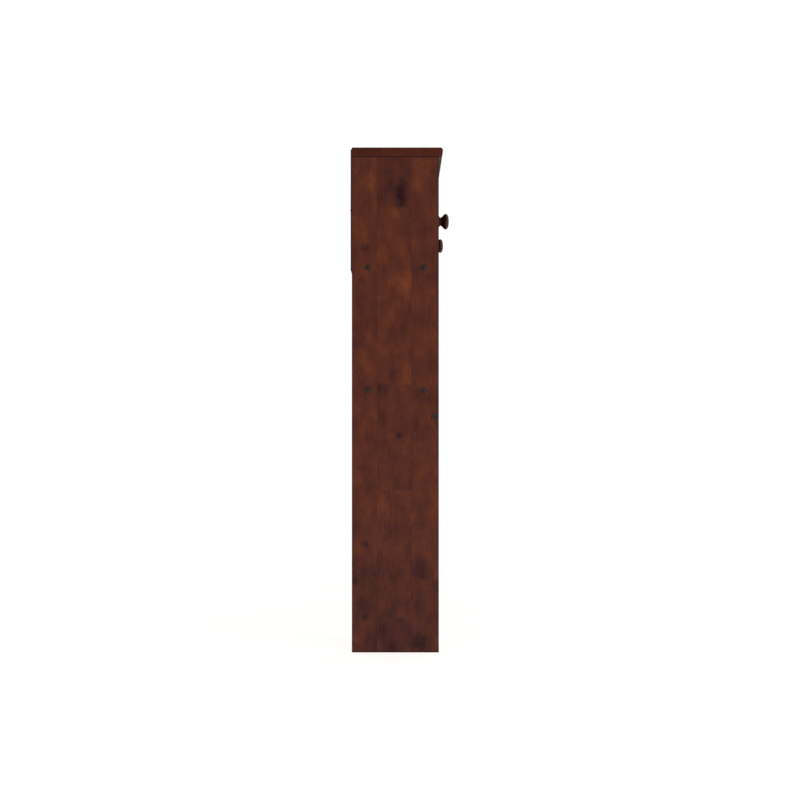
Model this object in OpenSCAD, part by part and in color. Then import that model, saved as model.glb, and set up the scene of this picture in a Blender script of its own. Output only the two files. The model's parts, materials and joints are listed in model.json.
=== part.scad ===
// Hall tree: two tall side panels carry a top board, a cabinet with two deep
// drawers, an open bay, a shelf with an apron, and two rails of coat hooks.
// Millimetres. The front faces -Y, +Z is up, and the floor is at z = 0.

/* [Overall size] */
// Height from the floor to the top surface
height = 1700; // [1560:10:2040]
// Width over the outer faces of the side panels
width = 914; // [740:2:1120]
// Depth of the side panels from front edge to rear edge
side_depth = 292.5; // [260:0.5:360]

/* [Board thicknesses] */
// Thickness of the two side panels
side_t = 20; // [18:0.5:26]
// Thickness of the top board
top_t = 32.5; // [27:0.5:38]
// Thickness of the cabinet floor
floor_t = 20; // [18:0.5:26]
// Thickness of the shelf
shelf_t = 20; // [18:0.5:26]
// Thickness of the divider between the drawers
divider_t = 20; // [18:0.5:26]
// Thickness of the apron under the shelf
apron_t = 20; // [16:0.5:24]
// Thickness of the two hook rails
rail_t = 20; // [18:0.5:26]
// Thickness of the plywood back
back_t = 4; // [3:0.5:8]

/* [Top board] */
// How far the top board reaches in front of the side panels
top_front_over = 14; // [8:0.5:25]
// How far the top board reaches past each side panel
top_end_over = 4; // [3:0.5:10]
// Radius of the round on the upper edge
top_upper_round = 12; // [8:0.5:14]
// Radius of the slack round on the lower edge
top_lower_round = 50; // [40:1:70]
// Height left bare between the back's upper edge and the top surface
back_drop = 8; // [5:0.5:12]

/* [Levels] */
// Clear height of the drawer openings
cabinet_clear = 363; // [300:1:430]
// Clear height of the open bay under the cabinet
bay_clear = 393; // [320:1:460]
// Height of the apron under the shelf
apron_h = 156; // [120:2:190]
// Distance of the apron behind the front edges
apron_set = 5; // [2:0.5:12]
// Height of each hook rail
rail_h = 130; // [120:2:150]

/* [Drawers] */
// Gap around each drawer front
front_gap = 2.5; // [1.5:0.25:4]
// Thickness of the drawer fronts
front_t = 20; // [18:0.5:24]
// Distance from a drawer box to the rear edges of the side panels
box_room = 22; // [18:0.5:50]
// Thickness of the drawer sides
box_side_t = 12; // [10:0.5:15]
// Thickness of the drawer's rear board
box_back_t = 12; // [10:0.5:15]
// Thickness of the drawer bottom
bottom_t = 5; // [4:0.5:8]
// Depth of the grooves that hold the drawer bottom and the sides
groove = 5; // [4:0.5:6]
// Height of the drawer bottom above the lower edge of the sides
bottom_up = 10; // [8:0.5:16]

/* [Drawer guides] */
// Gap between a drawer side and the board beside it
side_gap = 1.5; // [1:0.25:3]
// Thickness of the runners on the cabinet floor
runner_t = 4; // [3:0.5:6]
// Width of a runner
runner_w = 20; // [16:1:26]
// Width of the kickers over the drawer sides
kicker_w = 20; // [16:1:26]
// Height of the kickers
kicker_h = 28; // [22:1:36]
// Gap between a drawer side and the kicker over it
kicker_gap = 2; // [1:0.25:4]
// Width of a stop block
stop_w = 60; // [40:2:90]
// Length of the pull stop block from front to rear; a longer one shortens the drawer's travel
stop_len = 35.2; // [24:0.1:60]
// Height of the pull stop block under the top board
pull_stop_h = 16; // [12:1:22]
// Height of the stop block behind a drawer
close_stop_h = 34; // [28:1:60]

/* [Knobs] */
// Largest diameter of a knob
knob_d = 56; // [40:1:60]
// How far a knob stands out of its drawer front
knob_out = 46.5; // [40:0.5:60]
// Height of the knob above the middle of its drawer front
knob_up = 15; // [-20:1:30]

/* [Hooks] */
// Diameter of the hook's rod
hook_rod_d = 9; // [7:0.5:10]
// Straight run of the upper prong before its bend
upper_run = 38; // [30:1:50]
// Bend radius of the upper prong
upper_bend = 16; // [12:1:18]
// Straight run of the lower prong before its bend
lower_run = 20; // [18:1:28]
// Bend radius of the lower prong
lower_bend = 12; // [10:1:13]
// Width of the hook's plate
plate_w = 26; // [20:1:34]
// Height of the hook's plate
plate_h = 74; // [72:1:90]
// Thickness of the hook's plate
plate_t = 5; // [4:0.5:6]
// Height of the hooks' plates above the lower edge of their rail
plate_up = 8; // [5:1:12]

/* [Fastenings] */
// Distance of the frame bolts from the front and rear edges
bolt_inset = 52.5; // [36:0.5:70]
// Shank diameter of the frame bolts
bolt_d = 6; // [5:0.5:8]
// Head diameter of the frame bolts
bolt_head_d = 18; // [14:0.5:22]
// Thickness of the frame bolts' flat heads
bolt_head_h = 2.2; // [1.5:0.1:3]
// Distance of a barrel nut from the end of its board
nut_in = 36; // [28:1:46]
// Diameter of a barrel nut
nut_d = 10; // [9:0.5:12]
// Diameter of the wooden dowels
dowel_d = 8; // [6:0.5:10]
// Radial play of pins, dowels and screws in their holes
hole_play = 0.1; // [0.05:0.05:0.4]
// Shank diameter of the wood screws
screw_d = 4; // [3:0.5:4.5]
// Height of the round screw heads on the back
back_head_h = 1.7; // [1:0.1:2.5]

/* [Hidden] */
$fn = 48;

wood = "#5a2f24";
dark_wood = "#2a120a";
plywood = "#34201a";
inner_wood = "#b08a62";
black_steel = "#2e2c2c";
bronze = "#3a3029";
steel = "#8f8d88";

// Levels
top_under = height - top_t;
floor_top = top_under - cabinet_clear;
floor_under = floor_top - floor_t;
shelf_top = floor_under - bay_clear;
shelf_under = shelf_top - shelf_t;
floor_mid = (floor_top + floor_under) / 2;
shelf_mid = (shelf_top + shelf_under) / 2;
apron_mid = shelf_under - apron_h / 2;
upper_rail_mid = floor_under - rail_h / 2;
lower_rail_mid = shelf_under - rail_h / 2;
upper_hook_mid = floor_under - rail_h + plate_up + plate_h / 2;
lower_hook_mid = shelf_under - rail_h + plate_up + plate_h / 2;
back_upper = height - back_drop;

// Front to rear: the whole object, knobs and screw heads included, is centred on y = 0
front_y = -(side_depth + back_t + back_head_h - knob_out) / 2;
rear_y = front_y + side_depth;
mid_y = (front_y + rear_y) / 2;
apron_y = front_y + apron_set + apron_t / 2;
rail_y = rear_y - rail_t / 2;
rail_face = rear_y - rail_t;
bolt_ys = [front_y + bolt_inset, rear_y - bolt_inset];

// Side to side
inner_x = width / 2 - side_t;
side_mid_x = width / 2 - side_t / 2;
bay_w = inner_x - divider_t / 2;
bay_mid_x = divider_t / 2 + bay_w / 2;

// Wooden dowels
dowel_in_side = 12;
dowel_in_board = 18;
dowel_in_top = 16;
dowel_up = 12;
top_dowel_ys = [bolt_ys[0], mid_y, bolt_ys[1]];
rail_dowel_xs = [-width / 4, 0, width / 4];
apron_spread = apron_h / 3;
rail_spread = rail_h / 4;
apron_dowels = [for (s = [-1, 1]) [apron_y, apron_mid + s * apron_spread]];
upper_rail_dowels = [for (s = [-1, 1]) [rail_y, upper_rail_mid + s * rail_spread]];
lower_rail_dowels = [for (s = [-1, 1]) [rail_y, lower_rail_mid + s * rail_spread]];
floor_dowels = [[mid_y, floor_mid]];
shelf_dowels = [[mid_y, shelf_mid]];

// Frame bolts: [y, z] of each bolt on one side
floor_bolts = [for (y = bolt_ys) [y, floor_mid]];
shelf_bolts = [for (y = bolt_ys) [y, shelf_mid]];
apron_bolts = [[apron_y, apron_mid]];
bolt_tip = 8;
bolt_play = 0.5;
bolt_bevel = 1;
nut_x = inner_x - nut_in;
nut_reach = 6;
socket_across = 4;
socket_deep = 3;

// How far a cutting shape reaches past the face that it opens
overcut = 1;

// Screws with flat heads: the head's cone is as deep as it is wide past the shank
head_d = 2 * screw_d;
head_deep = (head_d - screw_d) / 2;
divider_screw_in = 25;
runner_screw_in = 12;
kicker_screw_in = 14;
stop_screw_in = 14;

// Screws of the back: along its upper and lower edges, and halfway up each upright board
back_head_d = 8.5;
back_screw_len = 18;
back_ends_in = 25;
back_screw_n = 6;
back_row_xs = [for (i = [0:back_screw_n - 1])
    -width / 2 + back_ends_in + i * (width - 2 * back_ends_in) / (back_screw_n - 1)];
back_places = concat(
    [for (x = back_row_xs) [x, floor_mid]],
    [for (x = back_row_xs) [x, (top_under + back_upper) / 2]],
    [for (x = [-side_mid_x, 0, side_mid_x]) [x, (floor_under + back_upper) / 2]]);

// Drawers, drawn around x = 0 and moved to their bay
front_w = bay_w - 2 * front_gap;
front_low = floor_top + front_gap;
front_high = top_under - front_gap;
knob_z = (front_low + front_high) / 2 + knob_up;
slide_play = 0.3;
fit_play = 0.1;
box_w = bay_w - 2 * side_gap;
box_low = floor_top + runner_t + slide_play;
box_high = top_under - kicker_h - kicker_gap;
box_inner_x = box_w / 2 - box_side_t;
box_rear = rear_y - box_room;
bottom_low = box_low + bottom_up;
bottom_high = bottom_low + bottom_t;
tab_over = 12;
tab_w = stop_w + 2 * tab_over;
tab_gap = 4;
tab_root = 1;
box_screw_zs = [for (i = [1:3]) bottom_high + (box_high - bottom_high) * i / 4];
box_screw_len = 32;

// Guides and stops; the drawer's back meets the pull stop's rear face when it is fully out
guide_set = 3;
guide_front = front_y + front_t + guide_set;
guide_rear = rear_y - guide_set;
close_play = 0.5;
stop_face = guide_front + stop_len;
pull_stop_low = top_under - pull_stop_h;
guide_screw_off = 30;
guide_screw_ys = [bolt_ys[0] + guide_screw_off, bolt_ys[1] - guide_screw_off];
kicker_side_off = 16;
kicker_tip_gap = 1;
kicker_screw_deep = min(side_t, divider_t) / 2 - kicker_tip_gap;

// The four places beside the drawers, from left to right: [board face, side that it reaches to]
guide_places = [[-inner_x, 1], [-divider_t / 2, -1], [divider_t / 2, 1], [inner_x, -1]];

// Knob: lengths are measured from the tip
knob_crown = 12.5;
knob_neck = 30.7;
knob_flare = 39;
knob_neck_r = 15;
knob_foot_r = 21;
knob_steps = 10;
knob_screw_in = 20;
knob_head_d = 8;
knob_head_h = 2.5;

// Hooks: heights are measured from the middle of the plate
hook_n = 4;
hook_pitch = 2 * inner_x / hook_n;
hook_r = hook_rod_d / 2;
upper_prong_z = 11;
lower_prong_z = -25;
upper_rise = 10;
lower_rise = 2;
upper_ball_r = 8;
lower_ball_r = 7;
hook_screw_zs = [26, -7];
hook_screw_len = 20;

// A board from one corner to the opposite corner
module board(low, high) {
    translate(low) cube(high - low);
}

// Both ends of a board that spans the side panels
module both_ends() {
    for (s = [0, 1]) mirror([s, 0, 0]) children();
}

// Dowels along X through the joint between a board's ends and the side panels
module end_dowels(places, play = 0) {
    both_ends() for (p = places)
        translate([inner_x - dowel_in_board - play, p[0], p[1]]) rotate([0, 90, 0])
            cylinder(d = dowel_d + 2 * play, h = dowel_in_board + dowel_in_side + 2 * play);
}

// Upright dowels through the joint at level z
module upright_dowels(xs, ys, z, up, play = 0) {
    for (x = xs) for (y = ys)
        translate([x, y, z - dowel_in_board - play])
            cylinder(d = dowel_d + 2 * play, h = dowel_in_board + up + 2 * play);
}

module top_dowels(play = 0) {
    upright_dowels([-side_mid_x, side_mid_x], top_dowel_ys, top_under, dowel_in_top, play);
    upright_dowels([0], bolt_ys, top_under, dowel_in_top, play);
}

module upper_rail_pins(play = 0) {
    upright_dowels(rail_dowel_xs, [rail_y], floor_under, dowel_up, play);
}

module shelf_pins(play = 0) {
    upright_dowels(rail_dowel_xs, [rail_y, apron_y], shelf_under, dowel_up, play);
}

// A frame bolt with its head on the outer face of the right side panel
module bolt() {
    difference() {
        union() {
            translate([width / 2, 0, 0]) rotate([0, 90, 0]) {
                cylinder(d = bolt_head_d, h = bolt_head_h - bolt_bevel);
                translate([0, 0, bolt_head_h - bolt_bevel])
                    cylinder(d1 = bolt_head_d, d2 = bolt_head_d - 2 * bolt_bevel, h = bolt_bevel);
            }
            translate([nut_x - bolt_tip, 0, 0]) rotate([0, 90, 0])
                cylinder(d = bolt_d, h = width / 2 - nut_x + bolt_tip);
        }
        translate([width / 2 + bolt_head_h - socket_deep, 0, 0]) rotate([0, 90, 0])
            cylinder(d = socket_across / cos(30), h = socket_deep + overcut, $fn = 6);
    }
}

module bolt_holes(places) {
    both_ends() for (p = places)
        translate([nut_x - bolt_tip - overcut, p[0], p[1]]) rotate([0, 90, 0])
            cylinder(d = bolt_d + 2 * bolt_play, h = width / 2 - nut_x + bolt_tip + 2 * overcut);
}

// A barrel nut, or the blind hole for it, entering from the low face of its board
module nut(board_t, play = 0) {
    out = play > 0 ? overcut : 0;
    translate([0, 0, -board_t / 2 - out])
        cylinder(d = nut_d + 2 * play, h = board_t / 2 + nut_reach + play + out);
}

module upright_nuts(places, board_t, play = 0) {
    both_ends() for (p = places) translate([nut_x, p[0], p[1]]) nut(board_t, play);
}

module apron_nuts(play = 0) {
    both_ends() for (p = apron_bolts)
        translate([nut_x, p[0], p[1]]) rotate([90, 0, 0]) nut(apron_t, play);
}

// A flat-headed wood screw along +Z with its head flush at z = 0
module screw(len, play = 0) {
    cylinder(d = screw_d + 2 * play, h = len + play);
    translate([0, 0, -play]) cylinder(d1 = head_d + 2 * play, d2 = screw_d + 2 * play, h = head_deep + play);
    if (play > 0) translate([0, 0, -overcut]) cylinder(d = head_d + 2 * play, h = overcut);
}

// Side panels

module side_panel() {
    difference() {
        board([inner_x, front_y, 0], [width / 2, rear_y, top_under]);
        bolt_holes(concat(floor_bolts, shelf_bolts, apron_bolts));
        end_dowels(concat(floor_dowels, shelf_dowels, apron_dowels, upper_rail_dowels, lower_rail_dowels),
                   hole_play);
        top_dowels(hole_play);
        back_screw_set(hole_play);
        kicker_screw_set(hole_play);
    }
}

module side_panel_left() {
    color(wood) mirror([1, 0, 0]) side_panel();
}

module side_panel_right() {
    color(wood) side_panel();
}

// Top board

// Points of the rounded edge, from its lower corner up to its top, as [out, up]
function edge_profile(reach) =
    let (crest = top_t - top_upper_round,
         low_a = asin(crest / top_lower_round))
    concat(
        [for (i = [0:4]) let (a = -low_a * (1 - i / 4))
            [reach - top_lower_round * (1 - cos(a)), crest + top_lower_round * sin(a)]],
        [for (i = [1:8]) let (a = 90 * i / 8)
            [reach - top_upper_round * (1 - cos(a)), crest + top_upper_round * sin(a)]]);

module front_edge_shape() {
    pts = edge_profile(-front_y + top_front_over);
    polygon(concat(pts, [[-rear_y, top_t], [-rear_y, 0]]));
}

module end_edge_shape() {
    pts = edge_profile(width / 2 + top_end_over);
    polygon(concat(pts, [for (i = [len(pts) - 1:-1:0]) [-pts[i][0], pts[i][1]]]));
}

module top_board() {
    color(wood) difference() {
        translate([0, 0, top_under]) intersection() {
            rotate([90, 0, -90]) translate([0, 0, -width]) linear_extrude(2 * width) front_edge_shape();
            rotate([90, 0, 0]) translate([0, 0, -width]) linear_extrude(2 * width) end_edge_shape();
        }
        top_dowels(hole_play);
        back_screw_set(hole_play);
        kicker_screw_set(hole_play);
        stop_screw_set(hole_play);
    }
}

// Cabinet

module cabinet_floor() {
    color(wood) difference() {
        board([-inner_x, front_y, floor_under], [inner_x, rear_y, floor_top]);
        bolt_holes(floor_bolts);
        upright_nuts(floor_bolts, floor_t, hole_play);
        end_dowels(floor_dowels, hole_play);
        upper_rail_pins(hole_play);
        divider_screw_set(hole_play);
        runner_screw_set(hole_play);
        back_screw_set(hole_play);
    }
}

module cabinet_divider() {
    color(wood) difference() {
        board([-divider_t / 2, front_y, floor_top], [divider_t / 2, rear_y, top_under]);
        top_dowels(hole_play);
        divider_screw_set(hole_play);
        kicker_screw_set(hole_play);
        back_screw_set(hole_play);
    }
}

module divider_screw_set(play = 0) {
    for (y = [bolt_ys[0], mid_y, bolt_ys[1]])
        translate([0, y, floor_under]) screw(floor_t + divider_screw_in, play);
}

module divider_screws() {
    color(steel) divider_screw_set();
}

module back_panel() {
    color(plywood) difference() {
        board([-width / 2, rear_y, floor_under], [width / 2, rear_y + back_t, back_upper]);
        back_screw_set(hole_play);
    }
}

module back_screw_set(play = 0) {
    out = play > 0 ? overcut : 0;
    for (p = back_places) translate([p[0], rear_y + back_t + out, p[1]]) rotate([90, 0, 0])
        cylinder(d = screw_d + 2 * play, h = back_t + back_screw_len + play + out);
}

module back_screws() {
    color(steel) union() {
        back_screw_set();
        for (p = back_places) translate([p[0], rear_y + back_t, p[1]]) rotate([-90, 0, 0])
            cylinder(d1 = back_head_d, d2 = back_head_d / 2, h = back_head_h);
    }
}

// Shelf, apron and rails

module mid_shelf() {
    color(wood) difference() {
        board([-inner_x, front_y, shelf_under], [inner_x, rear_y, shelf_top]);
        bolt_holes(shelf_bolts);
        upright_nuts(shelf_bolts, shelf_t, hole_play);
        end_dowels(shelf_dowels, hole_play);
        shelf_pins(hole_play);
    }
}

module front_apron() {
    color(wood) difference() {
        board([-inner_x, apron_y - apron_t / 2, shelf_under - apron_h],
              [inner_x, apron_y + apron_t / 2, shelf_under]);
        bolt_holes(apron_bolts);
        apron_nuts(hole_play);
        end_dowels(apron_dowels, hole_play);
        shelf_pins(hole_play);
    }
}

module hook_rail(mid, hook_mid, places) {
    difference() {
        board([-inner_x, rail_face, mid - rail_h / 2], [inner_x, rear_y, mid + rail_h / 2]);
        end_dowels(places, hole_play);
        for (i = [1:hook_n]) hook_screw_pair(i, hook_mid, hole_play);
    }
}

module upper_hook_rail() {
    color(wood) difference() {
        hook_rail(upper_rail_mid, upper_hook_mid, upper_rail_dowels);
        upper_rail_pins(hole_play);
    }
}

module lower_hook_rail() {
    color(wood) difference() {
        hook_rail(lower_rail_mid, lower_hook_mid, lower_rail_dowels);
        shelf_pins(hole_play);
    }
}

// Hooks

function hook_x(i) = (i - (hook_n + 1) / 2) * hook_pitch;

// A prong from the rail's face: out, then bent upwards, with a ball on its end
module prong(z, run, bend, rise, ball_r) {
    translate([0, 0, z]) {
        rotate([90, 0, 0]) cylinder(r = hook_r, h = run);
        translate([0, -run, bend]) rotate([-90, 0, 0]) rotate([0, 90, 0])
            rotate_extrude(angle = 90) translate([bend, 0]) circle(r = hook_r);
        translate([0, -run - bend, bend]) cylinder(r = hook_r, h = rise);
        translate([0, -run - bend, bend + rise]) sphere(r = ball_r);
    }
}

module hook(i, mid) {
    color(bronze) difference() {
        translate([hook_x(i), rail_face, mid]) {
            board([-plate_w / 2, -plate_t, -(plate_h - plate_w) / 2], [plate_w / 2, 0, (plate_h - plate_w) / 2]);
            for (s = [-1, 1]) translate([0, 0, s * (plate_h - plate_w) / 2]) rotate([90, 0, 0])
                cylinder(d = plate_w, h = plate_t);
            prong(upper_prong_z, upper_run, upper_bend, upper_rise, upper_ball_r);
            prong(lower_prong_z, lower_run, lower_bend, lower_rise, lower_ball_r);
        }
        hook_screw_pair(i, mid, hole_play);
    }
}

module hook_screw_pair(i, mid, play = 0) {
    for (z = hook_screw_zs) translate([hook_x(i), rail_face - plate_t, mid + z]) rotate([-90, 0, 0])
        screw(hook_screw_len, play);
}

module hook_screws() {
    color(bronze) for (i = [1:hook_n]) for (mid = [upper_hook_mid, lower_hook_mid]) hook_screw_pair(i, mid);
}

// Drawer guides and stops: the outer and inner edge of each drawer bay

function strip_low(i, w) = guide_places[i - 1][1] > 0 ? guide_places[i - 1][0] : guide_places[i - 1][0] - w;

module runner(i) {
    x = strip_low(i, runner_w);
    color(inner_wood) difference() {
        board([x, guide_front, floor_top], [x + runner_w, guide_rear, floor_top + runner_t]);
        runner_screw_set(hole_play);
    }
}

module runner_screw_set(play = 0) {
    for (i = [1:4]) for (y = guide_screw_ys)
        translate([strip_low(i, runner_w) + runner_w / 2, y, floor_top + runner_t]) rotate([180, 0, 0])
            screw(runner_t + runner_screw_in, play);
}

module runner_screws() {
    color(steel) runner_screw_set();
}

module kicker(i) {
    x = strip_low(i, kicker_w);
    color(inner_wood) difference() {
        board([x, guide_front, top_under - kicker_h], [x + kicker_w, guide_rear, top_under]);
        kicker_screw_set(hole_play);
    }
}

// Each kicker has two screws up into the top board and two sideways into its upright board
module kicker_screw_set(play = 0) {
    for (i = [1:4]) {
        into = -guide_places[i - 1][1];
        x = strip_low(i, kicker_w);
        for (y = guide_screw_ys) {
            translate([x + kicker_w / 2, y, top_under - kicker_h]) screw(kicker_h + kicker_screw_in, play);
            translate([guide_places[i - 1][0] - into * kicker_w, y + kicker_side_off, top_under - kicker_h / 2])
                rotate([0, into * 90, 0]) screw(kicker_w + kicker_screw_deep, play);
        }
    }
}

module kicker_screws() {
    color(steel) kicker_screw_set();
}

module pull_stop(side) {
    color(inner_wood) difference() {
        board([side * bay_mid_x - stop_w / 2, guide_front, pull_stop_low],
              [side * bay_mid_x + stop_w / 2, stop_face, top_under]);
        stop_screw_set(hole_play);
    }
}

module stop_screw_set(play = 0) {
    for (side = [-1, 1]) for (s = [-1, 1])
        translate([side * bay_mid_x + s * stop_w / 4, (guide_front + stop_face) / 2, pull_stop_low])
            screw(pull_stop_h + stop_screw_in, play);
}

module stop_screws() {
    color(steel) stop_screw_set();
}

module close_stop(side) {
    color(inner_wood)
        board([side * bay_mid_x - stop_w / 2, box_rear + close_play, floor_top],
              [side * bay_mid_x + stop_w / 2, rear_y, floor_top + close_stop_h]);
}

// Drawers

module drawer_front(side) {
    color(wood) translate([side * bay_mid_x, 0, 0]) difference() {
        board([-front_w / 2, front_y, front_low], [front_w / 2, front_y + front_t, front_high]);
        for (s = [0, 1]) mirror([s, 0, 0])
            board([box_inner_x - fit_play, front_y + front_t - groove, box_low - fit_play],
                  [box_w / 2 + fit_play, front_y + front_t + overcut, box_high + fit_play]);
        bottom_groove();
        knob_screw_shape(hole_play);
    }
}

module bottom_groove() {
    board([-box_inner_x - groove, front_y + front_t - groove, bottom_low - fit_play],
          [box_inner_x + groove, box_rear + overcut, bottom_high + fit_play]);
}

module drawer_side(side, s) {
    color(inner_wood) translate([side * bay_mid_x, 0, 0]) mirror([s, 0, 0]) difference() {
        board([box_inner_x, front_y + front_t - groove + fit_play, box_low], [box_w / 2, box_rear, box_high]);
        bottom_groove();
        drawer_screw_set(hole_play);
    }
}

module drawer_back(side) {
    color(inner_wood) translate([side * bay_mid_x, 0, 0]) difference() {
        union() {
            board([-box_inner_x, box_rear - box_back_t, bottom_high + fit_play], [box_inner_x, box_rear, box_high]);
            board([-tab_w / 2, box_rear - box_back_t, box_high - tab_root], [tab_w / 2, box_rear, top_under - tab_gap]);
        }
        drawer_screw_set(hole_play);
    }
}

module drawer_bottom(side) {
    color(plywood) translate([side * bay_mid_x, 0, 0])
        board([-box_inner_x - groove + fit_play, front_y + front_t - groove + fit_play, bottom_low],
              [box_inner_x + groove - fit_play, box_rear, bottom_high]);
}

module drawer_screw_set(play = 0) {
    for (s = [-1, 1]) for (z = box_screw_zs)
        translate([s * box_w / 2, box_rear - box_back_t / 2, z]) rotate([0, -s * 90, 0])
            screw(box_screw_len, play);
}

module drawer_screws(side) {
    color(steel) translate([side * bay_mid_x, 0, 0]) drawer_screw_set();
}

// Half outline of a knob as [radius, distance from the drawer front]
function knob_outline() = concat(
    [for (i = [0:knob_steps]) let (a = 90 * i / knob_steps)
        [knob_d / 2 * sin(a), knob_out - knob_crown * (1 - cos(a))]],
    [for (i = [1:knob_steps]) let (s = i / knob_steps)
        [knob_neck_r + (knob_d / 2 - knob_neck_r) * (1 + cos(180 * s)) / 2,
         knob_out - knob_crown - (knob_neck - knob_crown) * s]],
    [for (i = [1:knob_steps / 2]) let (s = i / (knob_steps / 2))
        [knob_neck_r + (knob_foot_r - knob_neck_r) * (1 - cos(180 * s)) / 2,
         knob_out - knob_neck - (knob_flare - knob_neck) * s]],
    [[knob_foot_r, 0], [0, 0]]);

module drawer_knob(side) {
    color(dark_wood) translate([side * bay_mid_x, 0, 0]) difference() {
        translate([0, front_y, knob_z]) rotate([90, 0, 0]) rotate_extrude() polygon(knob_outline());
        knob_screw_shape(hole_play);
    }
}

module knob_screw_shape(play = 0) {
    translate([0, front_y - knob_screw_in - play, knob_z]) rotate([-90, 0, 0])
        cylinder(d = screw_d + 2 * play, h = front_t + knob_screw_in + 2 * play);
}

module drawer_knob_screw(side) {
    color(steel) translate([side * bay_mid_x, 0, 0]) union() {
        knob_screw_shape();
        translate([0, front_y + front_t, knob_z]) rotate([-90, 0, 0]) cylinder(d = knob_head_d, h = knob_head_h);
    }
}

// Fastenings of the frame

module frame_bolts() {
    color(black_steel) both_ends() for (p = concat(floor_bolts, shelf_bolts, apron_bolts))
        translate([0, p[0], p[1]]) bolt();
}

module barrel_nuts() {
    color(steel) difference() {
        union() {
            upright_nuts(floor_bolts, floor_t);
            upright_nuts(shelf_bolts, shelf_t);
            apron_nuts();
        }
        both_ends() for (p = concat(floor_bolts, shelf_bolts, apron_bolts))
            translate([nut_x - nut_d, p[0], p[1]]) rotate([0, 90, 0])
                cylinder(d = bolt_d + 2 * hole_play, h = 2 * nut_d);
    }
}

module frame_dowels() {
    color(inner_wood) union() {
        end_dowels(concat(floor_dowels, shelf_dowels, apron_dowels, upper_rail_dowels, lower_rail_dowels));
        top_dowels();
        upper_rail_pins();
        shelf_pins();
    }
}

side_panel_left();
side_panel_right();
top_board();
cabinet_floor();
cabinet_divider();
back_panel();
mid_shelf();
front_apron();
upper_hook_rail();
lower_hook_rail();
hook(1, upper_hook_mid);  // upper_hook_1
hook(2, upper_hook_mid);  // upper_hook_2
hook(3, upper_hook_mid);  // upper_hook_3
hook(4, upper_hook_mid);  // upper_hook_4
hook(1, lower_hook_mid);  // lower_hook_1
hook(2, lower_hook_mid);  // lower_hook_2
hook(3, lower_hook_mid);  // lower_hook_3
hook(4, lower_hook_mid);  // lower_hook_4
runner(1);  // runner_1
runner(2);  // runner_2
runner(3);  // runner_3
runner(4);  // runner_4
kicker(1);  // kicker_1
kicker(2);  // kicker_2
kicker(3);  // kicker_3
kicker(4);  // kicker_4
pull_stop(-1);  // pull_stop_left
pull_stop(1);  // pull_stop_right
close_stop(-1);  // close_stop_left
close_stop(1);  // close_stop_right
drawer_front(-1);  // left_drawer_front
drawer_side(-1, 1);  // left_drawer_side_outer
drawer_side(-1, 0);  // left_drawer_side_inner
drawer_back(-1);  // left_drawer_back
drawer_bottom(-1);  // left_drawer_bottom
drawer_knob(-1);  // left_drawer_knob
drawer_knob_screw(-1);  // left_drawer_knob_screw
drawer_screws(-1);  // left_drawer_screws
drawer_front(1);  // right_drawer_front
drawer_side(1, 0);  // right_drawer_side_outer
drawer_side(1, 1);  // right_drawer_side_inner
drawer_back(1);  // right_drawer_back
drawer_bottom(1);  // right_drawer_bottom
drawer_knob(1);  // right_drawer_knob
drawer_knob_screw(1);  // right_drawer_knob_screw
drawer_screws(1);  // right_drawer_screws
frame_bolts();
barrel_nuts();
frame_dowels();
divider_screws();
back_screws();
hook_screws();
kicker_screws();
runner_screws();
stop_screws();
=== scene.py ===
"""Finish of a wooden hall tree: eased boards, turned knobs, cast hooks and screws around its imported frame."""
import json
import math
import random
from collections import namedtuple

import bmesh
import bpy
from bpy.props import FloatProperty, FloatVectorProperty, IntProperty, PointerProperty
from mathutils import Matrix, Vector

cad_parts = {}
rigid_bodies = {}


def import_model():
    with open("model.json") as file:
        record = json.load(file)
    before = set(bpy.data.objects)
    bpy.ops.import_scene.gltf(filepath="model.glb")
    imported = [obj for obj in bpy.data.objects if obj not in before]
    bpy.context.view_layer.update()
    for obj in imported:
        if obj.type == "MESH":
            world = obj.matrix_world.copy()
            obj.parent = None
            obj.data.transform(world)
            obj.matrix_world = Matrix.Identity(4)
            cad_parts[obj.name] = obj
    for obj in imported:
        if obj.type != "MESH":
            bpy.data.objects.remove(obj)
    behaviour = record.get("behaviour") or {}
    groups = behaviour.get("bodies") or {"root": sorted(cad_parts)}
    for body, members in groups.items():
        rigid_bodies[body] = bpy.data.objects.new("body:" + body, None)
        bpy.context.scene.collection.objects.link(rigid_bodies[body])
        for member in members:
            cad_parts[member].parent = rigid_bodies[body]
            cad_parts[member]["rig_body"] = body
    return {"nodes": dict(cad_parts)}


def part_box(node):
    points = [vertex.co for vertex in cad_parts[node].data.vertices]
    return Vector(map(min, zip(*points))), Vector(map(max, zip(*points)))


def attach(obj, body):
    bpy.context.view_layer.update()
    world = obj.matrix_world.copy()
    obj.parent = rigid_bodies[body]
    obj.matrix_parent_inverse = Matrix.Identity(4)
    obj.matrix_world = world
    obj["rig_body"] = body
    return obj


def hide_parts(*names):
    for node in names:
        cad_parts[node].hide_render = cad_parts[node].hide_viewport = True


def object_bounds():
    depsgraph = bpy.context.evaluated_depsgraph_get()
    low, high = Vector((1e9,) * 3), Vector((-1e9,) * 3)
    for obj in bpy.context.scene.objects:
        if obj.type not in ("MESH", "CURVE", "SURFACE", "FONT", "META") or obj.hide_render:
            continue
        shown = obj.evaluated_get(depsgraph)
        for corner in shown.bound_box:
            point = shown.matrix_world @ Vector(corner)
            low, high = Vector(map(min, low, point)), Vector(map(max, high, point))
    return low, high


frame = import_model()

bl_info = {
    "name": "Hall Tree Finish",
    "version": (1, 0, 0),
    "blender": (4, 5, 0),
    "location": "View3D > Sidebar > Hall Tree",
    "description": "Builds the boards, drawers, knobs, hooks and screws of a hall tree around its frame",
    "category": "Object",
}

MM = 0.001
CAD_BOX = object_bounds()
NODES = frame["nodes"]
AXES = {"X": 0, "Y": 1, "Z": 2}

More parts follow.
